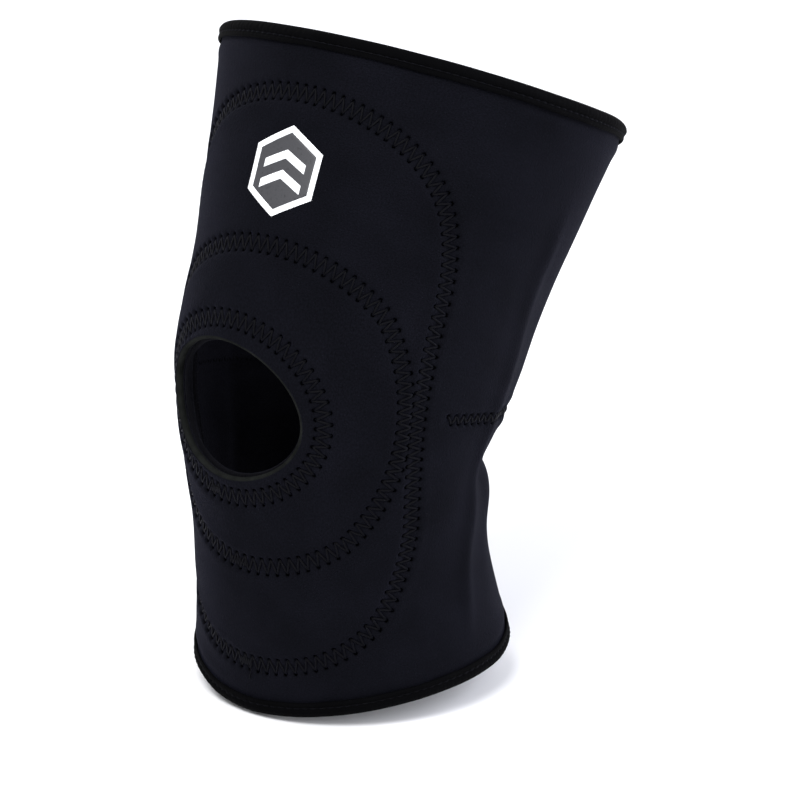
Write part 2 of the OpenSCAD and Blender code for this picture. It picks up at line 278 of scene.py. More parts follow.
def ahead_of(points, closed):
    """Directions along a line, or along a closed curve, at its points."""
    if closed:
        return unit(np.roll(points, -1, 0) - np.roll(points, 1, 0))
    return unit(np.gradient(points, axis=0))


def zigzag_places(name):
    """A stitched row's middle places, their points and the directions across the row."""
    middle, closed = ROWS[name]
    points = on_leg(middle)
    return middle, points, np.cross(outward(middle), ahead_of(points, closed))


def tree_of(points):
    tree = kdtree.KDTree(len(points))
    for i, p in enumerate(points):
        tree.insert(p, i)
    tree.balance()
    return tree


NEEDLES, LEGS, ROW_TREES = [], [], {}
for row_name, (_, row_closed) in ROWS.items():
    _, row_points, row_across = zigzag_places(row_name)
    swing = swing_of(row_name) * np.where(np.arange(len(row_points)) % 2 == 0, 1, -1)
    needles = row_points + row_across * swing[:, None]
    following = np.roll(needles, -1, 0) if row_closed else needles[1:]
    NEEDLES.append(needles)
    LEGS += [needles[: len(following)] * (1 - s) + following * s for s in np.linspace(0.08, 0.92, 15)]
    row_line, _ = evenly({**CURVES, **OPEN_CURVES}[row_name], 1200, row_closed)
    ROW_TREES[row_name] = tree_of(on_leg(row_line))
NEEDLE_TREE, LEG_TREE = tree_of(np.vstack(NEEDLES)), tree_of(np.vstack(LEGS))
WINDOW_TREE = tree_of(on_leg(window_places(0.0, TURNS)))


NEAR, FAR = 6.0, 12.0


def distances(tree, points, reach=FAR):
    """Distance of each point from the tree's nearest one, reach where it is further."""
    found = (tree.find(p)[2] for p in points.reshape(-1, 3))
    return np.minimum(np.fromiter(found, float), reach).reshape(points.shape[:-1])


def stitches_away(points):
    """Distances of points from the nearest needle hole and from the nearest leg of thread."""
    return distances(NEEDLE_TREE, points, NEAR), distances(LEG_TREE, points, NEAR)


def level_in(places, curve, centre=MIDDLE_LOOP[0]):
    """How far out places lie towards a closed curve round a centre: 0 there, 1 on the curve."""
    rel, ring = places - centre, curve - centre
    rel = np.stack([from_front(rel[..., 0]), rel[..., 1]], -1)
    angle = np.arctan2(ring[:, 0], ring[:, 1])
    order = np.argsort(angle)
    radius = np.hypot(ring[:, 0], ring[:, 1])[order]
    at = np.interp(np.arctan2(rel[..., 0], rel[..., 1]), angle[order], radius, period=2 * math.pi)
    return np.hypot(rel[..., 0], rel[..., 1]) / at


# ---------------- relief: how far the worn sleeve stands out
SWELL = {"grid": None, "arounds": None, "alongs": None}


def swell_at(places):
    """What the cloth simulation added, read from its grid."""
    if SWELL["grid"] is None:
        return np.zeros(places.shape[:-1])
    grid, arounds, alongs = SWELL["grid"], SWELL["arounds"], SWELL["alongs"]
    columns = len(arounds)
    u = (places[..., 0] % 360) / 360 * columns
    v = clamp((places[..., 1] - alongs[0]) / (alongs[-1] - alongs[0]), 0, 1) * (len(alongs) - 1)
    i, j = np.floor(u).astype(int), np.minimum(np.floor(v).astype(int), len(alongs) - 2)
    fu, fv = u - i, v - j
    fu, fv = fu * fu * (3 - 2 * fu), fv * fv * (3 - 2 * fv)
    near, far = i % columns, (i + 1) % columns
    low = grid[j, near] * (1 - fu) + grid[j, far] * fu
    high = grid[j + 1, near] * (1 - fu) + grid[j + 1, far] * fu
    return low * (1 - fv) + high * fv


# Folds behind the knee as (height, place along the leg, spread, which way they wave)
BACK_FOLDS = ((-2.4, -25, 6.5, 1), (1.0, -12, 6, 1), (1.9, -1, 8, 1), (0.7, -39, 7, -1))


def folds_at(places):
    """Soft folds of the fabric behind and beside the knee."""
    around, along = from_front(places[..., 0]), places[..., 1]
    a, behind = np.radians(around), clamp(-1.25 * np.cos(np.radians(around)) + 0.1, 0, 1)
    wave = 2.5 * np.cos(2 * a)
    fold = sum(height * bell(along - place + way * wave, spread) for height, place, spread, way in BACK_FOLDS)
    crest = 97.5 + 5.5 * bell(along - 33, 34) - 0.0022 * clamp(-along - 20, 0, 90) ** 2
    ridge = 1.3 * bell(np.abs(around) - crest, 4.2) * smooth(along, -93, -66) * (1 - smooth(along, 70, 100))
    dip = -1.0 * bell(np.abs(around) - crest - 13, 7) * smooth(along, -90, -40) * (1 - smooth(along, 30, 80))
    drift = 0.35 * np.sin(3 * a + along / 19.0) * np.sin(along / 23.0 + 1.3)
    drift += 0.2 * np.sin(5 * a - along / 11.0)
    return fold * behind + ridge + dip + drift


PANEL_RISE, PAD_RISE, PIT_DEPTH = 0.55, 0.6, 1.2
# How deep each stitched row pulls the cloth in
ROW_DEPTHS = {"inner": 0.8, "middle": 0.85, "outer": 1.0, "back_seam": 0.7, "dart": 0.7}


def relief(places, detail=True):
    """Outward offset of the sleeve's surface in millimetres. detail adds the pits of single stitches."""
    points = on_leg(places)
    outer, middle = level_in(places, CURVES["outer"]), level_in(places, CURVES["middle"])
    front = np.abs(from_front(places[..., 0])) < FRONT_HALF_AROUND
    rise = folds_at(places) + swell_at(places)
    rise += np.where(front, PANEL_RISE * (1 - smooth(outer, 0.94, 1.0)), 0)
    rise += np.where(front, PAD_RISE * smooth(middle, 0.58, 0.7) * (1 - smooth(middle, 0.86, 0.97)), 0)
    edge = np.minimum(THIGH_LENGTH - places[..., 1], places[..., 1] + CALF_LENGTH)
    rise = rise * smooth(edge, 2, 16) + 0.35 * bell(edge - 10.5, 2.2) - 0.3 * bell(edge - 7.0, 1.2)
    for name, depth in ROW_DEPTHS.items():
        away = distances(ROW_TREES[name], points)
        rise += -depth * bell(away, 2.6) + 0.22 * bell(away - 5.2, 1.8)
    if detail:
        needle, leg = stitches_away(points)
        rise -= np.minimum(1.15 * bell(needle, 0.95) + 0.35 * bell(leg, 0.6), PIT_DEPTH)
    return rise


# ---------------- grids of places
TUBE_START = -215.0
EVEN_AROUND = 40.0
# How far the cloth's cut edge stays from the rim, and the half size of the block that rings the window
CUT, RINGED = 2.9, (44.0, 25.0)


def evenly_along(low, high, count):
    """Heights from low to high whose rings are evenly spaced between the front and the side."""
    fine = np.linspace(low, high, 1200)
    reach = reach_along(on_leg(np.stack([np.full_like(fine, EVEN_AROUND), fine], -1)))
    return np.interp(np.linspace(0, reach[-1], count), reach, fine)


def strip(lower, upper, closed=True):
    """Quads between two matched rows of vertex numbers."""
    if closed:
        return np.stack([lower, np.roll(lower, -1), np.roll(upper, -1), upper], -1)
    return np.stack([lower[:-1], lower[1:], upper[1:], upper[:-1]], -1)


def lattice(number, closed=True):
    """Quads of a grid of vertex numbers, whose rows are rings, or open lines."""
    return np.vstack([strip(lower, upper, closed) for lower, upper in zip(number, number[1:])])


def tube_grid(columns, rows, inset, rings):
    """A tube of places from rim to rim with the window's hole, smaller by inset: places, quads and borders.

    Each border is (vertex numbers in order, the numbers of the ring next to it)."""
    arounds = TUBE_START + 360 / columns * np.arange(columns)
    alongs = evenly_along(-CALF_LENGTH + CUT, THIGH_LENGTH - CUT, rows)
    places = np.stack(np.meshgrid(arounds, alongs), -1).reshape(-1, 2)
    number = np.arange(columns * rows).reshape(rows, columns)
    left, right = np.searchsorted(arounds, WINDOW_PLACE[0] + np.array([-1, 1]) * RINGED[0])
    low, high = np.searchsorted(alongs, WINDOW_PLACE[1] + np.array([-1, 1]) * RINGED[1])
    keep = np.ones((rows - 1, columns), bool)
    keep[low:high, left:right] = False
    quads = np.concatenate([strip(number[i], number[i + 1])[keep[i]] for i in range(rows - 1)])
    edge = np.concatenate(
        [
            number[high, left : right + 1],
            number[low:high, right][::-1],
            number[low, left:right][::-1],
            number[low + 1 : high, left],
        ]
    )
    hole = window_places(inset, window_turns(places[edge]))
    ring = edge
    for k in range(1, rings + 1):
        share = (k / rings) ** 0.85
        fresh = len(places) + np.arange(len(edge))
        places = np.vstack([places, places[edge] * (1 - share) + hole * share])
        quads = np.vstack([quads, strip(ring, fresh)])
        before, ring = ring, fresh
    used, packed = np.unique(quads, return_inverse=True)
    renumber = np.full(len(places), -1)
    renumber[used] = np.arange(len(used))
    borders = [(number[0], number[1]), (number[-1], number[-2]), (ring, before)]
    return places[used], packed.reshape(-1, 4), [(renumber[a], renumber[b]) for a, b in borders]


def round_grid(inner, outer, rings):
    """Places between two matched closed curves, their quads and both borders."""
    shares = np.linspace(0, 1, rings + 1)
    places = np.vstack([inner * (1 - s) + outer * s for s in shares])
    number = np.arange(len(places)).reshape(rings + 1, -1)
    return places, lattice(number), [(number[0], number[1]), (number[-1], number[-2])]


def refine(grid, marked, parts):
    """Splits the marked quads into parts by parts. Neighbours take the new points as extra corners.

    Old places keep their numbers. Returns places, quads and a list of faces with more corners."""
    places, quads, _ = grid
    small = quads[marked]
    edges = np.stack([small, np.roll(small, -1, 1)], -1)
    ordered = np.sort(edges, -1)
    unique, which = np.unique(ordered.reshape(-1, 2), axis=0, return_inverse=True)
    which = which.reshape(-1, 4)
    steps = np.arange(1, parts) / parts
    start, gap = places[unique[:, 0]], places[unique[:, 1]] - places[unique[:, 0]]
    gap[:, 0] = from_front(gap[:, 0])
    on_edges = start[:, None] + gap[:, None] * steps[None, :, None]
    first = len(places)
    number = first + np.arange(len(unique) * (parts - 1)).reshape(-1, parts - 1)
    sides = number[which]
    backward = edges[..., 0] > edges[..., 1]
    sides = np.where(backward[..., None], sides[..., ::-1], sides)
    inside_start = first + number.size
    inside = inside_start + np.arange(len(small) * (parts - 1) ** 2).reshape(-1, parts - 1, parts - 1)
    block = np.zeros((len(small), parts + 1, parts + 1), int)
    block[:, 0, 0], block[:, 0, -1], block[:, -1, -1], block[:, -1, 0] = small.T
    block[:, 0, 1:-1], block[:, 1:-1, -1] = sides[:, 0], sides[:, 1]
    block[:, -1, 1:-1], block[:, 1:-1, 0] = sides[:, 2, ::-1], sides[:, 3, ::-1]
    block[:, 1:-1, 1:-1] = inside
    corner = places[small]
    relative = corner - corner[:, :1]
    relative[..., 0] = from_front(relative[..., 0])
    u, v = np.meshgrid(steps, steps)
    weights = np.stack([(1 - u) * (1 - v), u * (1 - v), u * v, (1 - u) * v], -1)
    filled = corner[:, None, None, 0] + np.einsum("abk,nkc->nabc", weights, relative)
    corners = [block[:, :-1, :-1], block[:, :-1, 1:], block[:, 1:, 1:], block[:, 1:, :-1]]
    fine = np.stack(corners, -1).reshape(-1, 4)
    split = {(int(a), int(b)): i for i, (a, b) in enumerate(unique)}
    kept, joined = [], []
    for quad in quads[~marked].tolist():
        face = []
        for a, b in zip(quad, quad[1:] + quad[:1]):
            face.append(a)
            edge = split.get((min(a, b), max(a, b)))
            if edge is not None:
                extra = number[edge].tolist()
                face += extra if a < b else extra[::-1]
        (kept if len(face) == 4 else joined).append(face)
    every = np.vstack([places, on_edges.reshape(-1, 2), filled.reshape(-1, 2)])
    return every, np.vstack([np.array(kept), fine]), joined


# ---------------- meshes
def add_mesh(name, points, quads, uv=None, others=(), tidy=True):
    """A smooth-shaded mesh of points in millimetres, with uv as each vertex's place on its cloth in metres.

    others are faces that don't have four corners."""
    mesh = bpy.data.meshes.new(name)
    quads = np.asarray(quads).reshape(-1, 4)
    lengths = np.array([4] * len(quads) + [len(face) for face in others])
    corners = np.concatenate([quads.ravel(), np.array([c for face in others for c in face], int)])
    starts = np.concatenate([[0], np.cumsum(lengths)[:-1]])
    mesh.vertices.add(len(points))
    mesh.vertices.foreach_set("co", (np.asarray(points) * MM).astype(np.float32).ravel())
    mesh.loops.add(len(corners))
    mesh.loops.foreach_set("vertex_index", corners.astype(np.int32))
    mesh.polygons.add(len(starts))
    mesh.polygons.foreach_set("loop_start", starts.astype(np.int32))
    mesh.update(calc_edges=True)
    mesh.validate()
    if uv is not None:
        layer = mesh.uv_layers.new(name="cloth")
        values = uv[corners].copy()
        widest = np.repeat(np.maximum.reduceat(values[:, 0], starts), lengths)
        values[:, 0] += np.where(widest - values[:, 0] > GIRTH / 2, GIRTH, 0)
        layer.data.foreach_set("uv", values.astype(np.float32).ravel())
    if tidy:
        work = bmesh.new()
        work.from_mesh(mesh)
        bmesh.ops.recalc_face_normals(work, faces=work.faces)
        work.to_mesh(mesh)
        work.free()
    mesh.polygons.foreach_set("use_smooth", np.ones(len(mesh.polygons), bool))
    obj = bpy.data.objects.new(name, mesh)
    bpy.context.scene.collection.objects.link(obj)
    return obj


GIRTH = 0.42


def cloth_uv(places):
    """Where places lie on the flat cloth, in metres."""
    return np.stack([places[:, 0] / 360 * GIRTH, places[:, 1] * 1.25 * MM], -1)


def ply(name, grid, top, bottom, edge_rings, bulge, rise=None, fine=None):
    """A closed layer of cloth or foam between two depths, with rounded cut edges.

    rise is the worn sleeve's at the grid's places, unless given. fine is the grid's outside split up
    further, as (places, quads, other faces, rise)."""
    places, quads, borders = grid
    rise = relief(places, detail=False) if rise is None else rise
    inner = raised(places, rise - bottom)
    outer_places, outer_quads, others, outer_rise = (places, quads, [], rise) if fine is None else fine
    outer = raised(outer_places, outer_rise - top)
    count = len(outer)
    points, faces = [outer, inner], [outer_quads, quads[:, ::-1] + count]
    uv = [cloth_uv(outer_places), cloth_uv(places)]
    total = count + len(places)
    for border, inside in borders:
        outward_edge = unit(outer[border] - outer[inside])
        ring = border
        for k in range(1, edge_rings):
            share = k / edge_rings
            middle = outer[border] * (1 - share) + inner[border] * share
            points.append(middle + outward_edge * bulge * math.sin(math.pi * share))
            uv.append(cloth_uv(places[border]) + [0, share * 0.003])
            fresh = total + np.arange(len(border))
            faces.append(strip(ring, fresh))
            total, ring = total + len(border), fresh
        faces.append(strip(ring, border + count))
    return add_mesh(name, np.vstack(points), np.vstack(faces), np.vstack(uv), others)


THREAD_SIDES = 6


def tube(name, points, out, radius, closed):
    """A round thread along points, with its own uv along and round it. Open ends are capped."""
    points = np.asarray(points, float)
    ahead = ahead_of(points, closed)
    side = unit(np.cross(ahead, out))
    up = np.cross(side, ahead)
    angles = np.arange(THREAD_SIDES) * 2 * math.pi / THREAD_SIDES
    rings = points[:, None] + radius * (
        np.cos(angles)[None, :, None] * side[:, None] + np.sin(angles)[None, :, None] * up[:, None]
    )
    number = np.arange(len(points) * THREAD_SIDES).reshape(-1, THREAD_SIDES)
    quads = lattice(np.vstack([number, number[:1]]) if closed else number)
    round_it = np.tile(angles * radius * MM, len(points))
    uv = np.stack([np.repeat(reach_along(points) * MM, THREAD_SIDES), round_it], -1)
    caps = []
    all_points = rings.reshape(-1, 3)
    if not closed:
        for ring, end, sign in ((number[0], points[0], -1), (number[-1], points[-1], 1)):
            tip = len(all_points)
            all_points = np.vstack([all_points, end + sign * ahead[0 if sign < 0 else -1] * radius * 0.6])
            uv = np.vstack([uv, uv[ring[:1]]])
            caps += [[ring[k], ring[(k + 1) % THREAD_SIDES], tip] for k in range(THREAD_SIDES)]
    return add_mesh(name, all_points, quads, uv, caps)


def shifted(places, points, move):
    """The places that lie at move, in millimetres, from the points at places."""
    e = 0.3
    across = (on_leg(places + [e, 0]) - points) / e
    up = (on_leg(places + [0, e]) - points) / e
    a, b, c = (across * across).sum(-1), (across * up).sum(-1), (up * up).sum(-1)
    p, q = (move * across).sum(-1), (move * up).sum(-1)
    det = a * c - b * b
    return places + np.stack([(p * c - q * b) / det, (q * a - p * b) / det], -1)


def laid_thread(name, route, lifts, radius, closed=False):
    """A thread along places on the sleeve, raised by lifts from the worn surface."""
    return tube(name, raised(route, relief(route, detail=False) + lifts), outward(route), radius, closed)


LEG_SHARES = np.array([0.0, 0.12, 0.32, 0.5, 0.68, 0.88])
LEG_LIFTS = np.array([-1.3, -0.55, -0.02, 0.1, -0.02, -0.55])
BOBBIN_SHARE = 0.8


def zigzag_thread(name, row, depth=0.0, inward=False, radius=0.46):
    """Needle thread of a stitched row, or its bobbin thread on the inside at that depth."""
    middle, points, across = zigzag_places(row)
    closed = ROWS[row][1]
    sign = np.where(np.arange(len(middle)) % 2 == 0, 1, -1)[:, None]
    needles = shifted(middle, points, across * swing_of(row) * sign)
    if closed:
        following = np.roll(needles, -1, 0)
        gap = following - needles
        gap[:, 0] = from_front(gap[:, 0])
        following = needles + gap
    else:
        needles, following = needles[:-1], needles[1:]
    shares = LEG_SHARES[None, :, None]
    path = (needles[:, None] * (1 - shares) + following[:, None] * shares).reshape(-1, 2)
    lifts = np.tile(LEG_LIFTS, len(needles))
    return laid_thread(name, path, -depth - lifts * BOBBIN_SHARE if inward else lifts, radius, closed)


# ---------------- materials
# Painted shade: a vertex layer, 0 to 1, that darkens the face jersey's colour at the needle holes and along
# the thread's legs
PIT_SHADE_LAYER = "painted_pit_shade"
BLUISH, GREYISH = (0.4, 0.41, 0.8), (0.5, 0.5, 0.7)


def nodes_of(name):
    material = bpy.data.materials.new(name)
    material.use_nodes = True
    tree = material.node_tree
    return material, tree, tree.nodes["Principled BSDF"]


def link(tree, source, target):
    tree.links.new(source, target)


def texture(tree, kind, scale, detail=2.0, stretch=(1, 1, 1), source="UV"):
    """A noise or voronoi texture on the cloth's own coordinates."""
    where = tree.nodes.new("ShaderNodeTexCoord")
    mapping = tree.nodes.new("ShaderNodeMapping")
    mapping.inputs["Scale"].default_value = stretch
    link(tree, where.outputs[source], mapping.inputs["Vector"])
    node = tree.nodes.new(kind)
    node.inputs["Scale"].default_value = scale
    if "Detail" in node.inputs:
        node.inputs["Detail"].default_value = detail
    link(tree, mapping.outputs["Vector"], node.inputs["Vector"])
    return node


def blend_of(tree, factor, low, high, span=(0.3, 0.7)):
    """A colour between low and high by a texture's factor."""
    ramp = tree.nodes.new("ShaderNodeValToRGB")
    ramp.color_ramp.elements[0].position, ramp.color_ramp.elements[1].position = span
    ramp.color_ramp.elements[0].color = (*low, 1)
    ramp.color_ramp.elements[1].color = (*high, 1)
    link(tree, factor, ramp.inputs["Fac"])
    return ramp.outputs["Color"]


def bump_chain(tree, shader, layers):
    """Bumps of (height output, strength, distance in metres), one on the other."""
    before = None
    for height, strength, distance in layers:
        bump = tree.nodes.new("ShaderNodeBump")
        bump.inputs["Strength"].default_value = strength
        bump.inputs["Distance"].default_value = distance
        link(tree, height, bump.inputs["Height"])
        if before is not None:
            link(tree, before.outputs["Normal"], bump.inputs["Normal"])
        before = bump
    link(tree, before.outputs["Normal"], shader.inputs["Normal"])


def finish(shader, rough, specular=0.5, sheen=0.0, sheen_rough=0.5, tint=(1, 1, 1)):
    """Sets a shader's constant values."""
    values = {
        "Roughness": rough,
        "Specular IOR Level": specular,
        "Sheen Weight": sheen,
        "Sheen Roughness": sheen_rough,
        "Sheen Tint": (*tint, 1),
    }
    for socket, value in values.items():
        shader.inputs[socket].default_value = value


def multiplied(tree, colour, by, share):
    """A colour multiplied by another to that share."""
    mix = tree.nodes.new("ShaderNodeMix")
    mix.data_type, mix.blend_type = "RGBA", "MULTIPLY"
    mix.inputs["Factor"].default_value = share
    link(tree, colour, mix.inputs["A"])
    link(tree, by, mix.inputs["B"])
    return mix.outputs["Result"]


WALE, KNIT_STRENGTH, TWIST = 0.0007, 0.5, 0.0011


def knit(name, low, high, rough, sheen, tint, pit_shaded=False):
    """Fine matte jersey: small loops in columns, fuzz, slow changes of tone, painted shade in the stitches'
    pits.
    """
    material, tree, shader = nodes_of(name)
    tone = texture(tree, "ShaderNodeTexNoise", 38.0, 3.0)
    fuzz = texture(tree, "ShaderNodeTexNoise", 1400.0, 2.0)
    loops = texture(tree, "ShaderNodeTexVoronoi", 1 / WALE, stretch=(1.0, 0.75, 1.0))
    slow = blend_of(tree, tone.outputs["Fac"], low, high)
    specks = blend_of(tree, fuzz.outputs["Fac"], (0.55,) * 3, (1.5,) * 3, (0.3, 0.72))
    colour = multiplied(tree, slow, specks, 0.75)
    finish(shader, rough, 0.03, sheen, 0.4, tint)
    if pit_shaded:
        # Painted shade: the pit layer darkens the colour to 3% at the needle holes and along the thread's
        # legs
        pit_shade_node = tree.nodes.new("ShaderNodeAttribute")
        pit_shade_node.attribute_name = PIT_SHADE_LAYER
        shade = blend_of(tree, pit_shade_node.outputs["Fac"], (1, 1, 1), (0.03, 0.03, 0.03), (0.1, 0.75))
        colour = multiplied(tree, colour, shade, 1.0)
    link(tree, colour, shader.inputs["Base Color"])
    bump_chain(
        tree,
        shader,
        [
            (loops.outputs["Distance"], KNIT_STRENGTH, WALE * 0.6),
            (fuzz.outputs["Fac"], KNIT_STRENGTH * 0.6, 0.00025),
            (tone.outputs["Fac"], 0.25, 0.0008),
        ],
    )
    return material


def yarn(name, low, high, rough):
    """Twisted polyester thread with a faint lustre."""
    material, tree, shader = nodes_of(name)
    wave = texture(tree, "ShaderNodeTexWave", 1.0, 0.0, stretch=(1 / TWIST / 6.3, 1 / TWIST / 3.2, 1))
    wave.wave_type = "BANDS"
    wave.bands_direction = "DIAGONAL"
    fine = texture(tree, "ShaderNodeTexNoise", 2600.0, 2.0)
    link(tree, blend_of(tree, fine.outputs["Fac"], low, high), shader.inputs["Base Color"])
    finish(shader, rough, 0.05, 0.02, tint=BLUISH)
    bump_chain(tree, shader, [(wave.outputs["Fac"], 0.5, 0.00012), (fine.outputs["Fac"], 0.3, 0.00008)])
    return material


def rubber_foam(name, low, high):
    """Cut edge of foamed rubber: fine closed cells, slightly dusty."""
    material, tree, shader = nodes_of(name)
    cells = texture(tree, "ShaderNodeTexVoronoi", 2600.0, source="Object")
    dust = texture(tree, "ShaderNodeTexNoise", 160.0, 4.0, source="Object")
    link(tree, blend_of(tree, dust.outputs["Fac"], low, high), shader.inputs["Base Color"])
    finish(shader, 0.85, 0.03)
    bump_chain(
        tree, shader, [(cells.outputs["Distance"], 0.6, 0.0002), (dust.outputs["Fac"], 0.4, 0.0004)]
    )
    return material


def ribbon(name, low, high, rough):
    """Woven elastic tape: ribs across the tape, with a satin lustre."""
    material, tree, shader = nodes_of(name)
    ribs = texture(tree, "ShaderNodeTexWave", 1.0, 0.0, stretch=(160.0, 0.0, 0.0))
    ribs.bands_direction = "X"
    ribs.inputs["Distortion"].default_value = 0.4
    fuzz = texture(tree, "ShaderNodeTexNoise", 1500.0, 2.0)
    tone = texture(tree, "ShaderNodeTexNoise", 60.0, 2.0)
    link(tree, blend_of(tree, tone.outputs["Fac"], low, high), shader.inputs["Base Color"])
    finish(shader, rough, 0.03)
    bump_chain(
        tree,
        shader,
        [
            (ribs.outputs["Fac"], 0.25, 0.00025),
            (fuzz.outputs["Fac"], 0.4, 0.0002),
            (tone.outputs["Fac"], 0.2, 0.0005),
        ],
    )
    return material


def ink(name, low, high):
    """Rubbery screen print with worn pinholes."""
    material, tree, shader = nodes_of(name)
    worn_at = texture(tree, "ShaderNodeTexNoise", 900.0, 3.0, source="Object")
    link(tree, blend_of(tree, worn_at.outputs["Fac"], low, high, (0.25, 0.42)), shader.inputs["Base Color"])
    finish(shader, 0.55)
    bump_chain(tree, shader, [(worn_at.outputs["Fac"], 0.3, 0.0002)])
    return material


def flat_finish(name, colour, rough, specular=0.5):
    """One even tone."""
    material, _, shader = nodes_of(name)
    shader.inputs["Base Color"].default_value = (*colour, 1)
    finish(shader, rough, specular)
    return material


# The face jersey carries the painted shade of its stitch pits
JERSEY = knit(
    "face_jersey", (0.0019, 0.0020, 0.0032), (0.0030, 0.0031, 0.0050), 0.88, 0.026, BLUISH, pit_shaded=True
)
JERSEY_INSIDE = knit("lining_jersey", (0.004, 0.004, 0.006), (0.007, 0.007, 0.010), 0.9, 0.05, GREYISH)
PANEL_JERSEY = knit("panel_jersey", (0.0015, 0.0015, 0.0022), (0.003, 0.003, 0.004), 0.9, 0.03, GREYISH)
FOAM_EDGE = rubber_foam("foamed_rubber", (0.0042, 0.0046, 0.0043), (0.0100, 0.0108, 0.0100))
PAD_FOAM = rubber_foam("pad_foam", (0.02, 0.02, 0.022), (0.04, 0.04, 0.044))
TAPE = ribbon("binding_tape", (0.0003, 0.0003, 0.0005), (0.0008, 0.0008, 0.0011), 0.85)
THREAD = yarn("black_thread", (0.0006, 0.0006, 0.0010), (0.0018, 0.0018, 0.0026), 0.6)
# Painted shade: a near-black finish for the faces round each needle hole
NEEDLE_SHADE = flat_finish("painted_needle_shade", (0.0002, 0.0002, 0.0003), 0.95, 0.0)
WHITE_INK = ink("white_print", (0.45, 0.46, 0.48), (0.86, 0.87, 0.88))
GREY_INK = ink("grey_print", (0.010, 0.010, 0.012), (0.028, 0.028, 0.032))


def dress(obj, material):
    obj.data.materials.append(material)
    return obj


def bends(obj):
    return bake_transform(obj)


# ---------------- camera
AZIMUTH, ELEVATION, DISTANCE = math.radians(35.8), math.radians(18.1), 2.1
PIXELS_PER_MM, PICTURE, SENSOR = 2.605, 800, 36.0
AIM_RIGHT, AIM_UP = 0.021, 0.0006


def add_camera():
    data = bpy.data.cameras.new("camera")
    data.sensor_width = SENSOR
    data.lens = SENSOR * PIXELS_PER_MM * DISTANCE / MM / PICTURE
    camera = bpy.data.objects.new("camera", data)
    bpy.context.scene.collection.objects.link(camera)
    a, e = AZIMUTH, ELEVATION
    back = Vector((math.sin(a) * math.cos(e), -math.cos(a) * math.cos(e), math.sin(e)))
    right = Vector((math.cos(a), math.sin(a), 0))
    up = back.cross(right)
    camera.location = back * DISTANCE + right * AIM_RIGHT + up * AIM_UP
    camera.rotation_mode = "QUATERNION"
    camera.rotation_quaternion = (-back).to_track_quat("-Z", "Y")
    bpy.context.scene.camera = camera


add_camera()

# ---------------- cloth simulation of the sleeve's slack
SIM_COLUMNS, SIM_ROWS, SIM_FRAMES = 120, 84, 20
SWELL_RANGE = (-1.2, 2.6)


def simulate_swell():
    """Lets the tube's cloth swell and buckle between its stitched rows, and keeps how far it stood out."""
    arounds = np.arange(SIM_COLUMNS) * 360 / SIM_COLUMNS
    alongs = evenly_along(-CALF_LENGTH + 4, THIGH_LENGTH - 4, SIM_ROWS)
    places = np.stack(np.meshgrid(arounds, alongs), -1).reshape(-1, 2)
    points, out = raised(places, folds_at(places)), outward(places)
    number = np.arange(len(places)).reshape(SIM_ROWS, SIM_COLUMNS)
    obj = add_mesh("swelling", points, lattice(number), tidy=False)
    plain = on_leg(places)
    sewn = np.zeros(len(places))
    for tree in ROW_TREES.values():
        sewn = np.maximum(sewn, bell(distances(tree, plain), 3.2))
    sewn = np.maximum(sewn, level_in(places, CURVES["inner"], INNER_LOOP[0]) < 1.05)
    edge = np.minimum(THIGH_LENGTH - places[:, 1], places[:, 1] + CALF_LENGTH)
    sewn = np.maximum(sewn, edge < 10)
    behind = np.radians(places[:, 0])
    slack = bell(places[:, 1] + 15, 38) * clamp(-1.3 * np.cos(behind) + 0.15, 0, 1)
    hold = obj.vertex_groups.new(name="hold")
    loose = obj.vertex_groups.new(name="slack")
    for i, (s, g) in enumerate(zip(sewn, slack)):
        hold.add([i], float(clamp(max(s, 0.10), 0, 1)), "REPLACE")
        loose.add([i], float(g), "REPLACE")
    cloth = obj.modifiers.new("cloth", "CLOTH").settings
    cloth.quality = 8
    cloth.mass = 0.35
    cloth.tension_stiffness = cloth.compression_stiffness = 25
    cloth.shear_stiffness = 8
    cloth.bending_stiffness = 2.5
    cloth.effector_weights.gravity = 0
    cloth.vertex_group_mass = "hold"
    cloth.pin_stiffness = 0.6
    cloth.use_pressure = True
    cloth.uniform_pressure_force = 1.2
    cloth.vertex_group_shrink = "slack"
    cloth.shrink_min, cloth.shrink_max = 0.0, -0.06
    scene = bpy.context.scene
    for number_now in range(1, SIM_FRAMES + 1):
        scene.frame_set(number_now)
    evaluated = obj.evaluated_get(bpy.context.evaluated_depsgraph_get())
    moved = np.zeros(len(places) * 3, np.float32)
    evaluated.data.vertices.foreach_get("co", moved)
    swell = ((moved.reshape(-1, 3) / MM - points) * out).sum(-1).reshape(SIM_ROWS, SIM_COLUMNS)
    scene.frame_set(1)
    bpy.data.objects.remove(obj)
    SWELL.update(grid=clamp(swell, *SWELL_RANGE), arounds=arounds, alongs=alongs)


simulate_swell()

# ---------------- the laminated sleeve
def window_away(places):
    return distances(WINDOW_TREE, on_leg(places), 30.0)


def row_away(points):
    """Distance of each point from the nearest stitched row's middle."""
    return np.minimum.reduce([distances(tree, points, 20.0) for tree in ROW_TREES.values()])


FINE_MARGIN = 1.8


def middles(places, quads):
    """The middle place of each quad."""
    first, across = places[quads[:, 0]], places[quads[:, 2]] - places[quads[:, 0]]
    return first + 0.5 * np.stack([from_front(across[:, 0]), across[:, 1]], -1)


def near_stitches(grid):
    """Marks the quads of a grid that lie close to a stitched row, and off the cut edges."""
    places, quads, borders = grid
    marked = row_away(on_leg(middles(places, quads))) < STITCH_SWING + FINE_MARGIN
    edge = np.zeros(len(places), bool)
    for border, inside in borders:
        edge[border] = edge[inside] = True
    return marked & ~edge[quads].any(1)


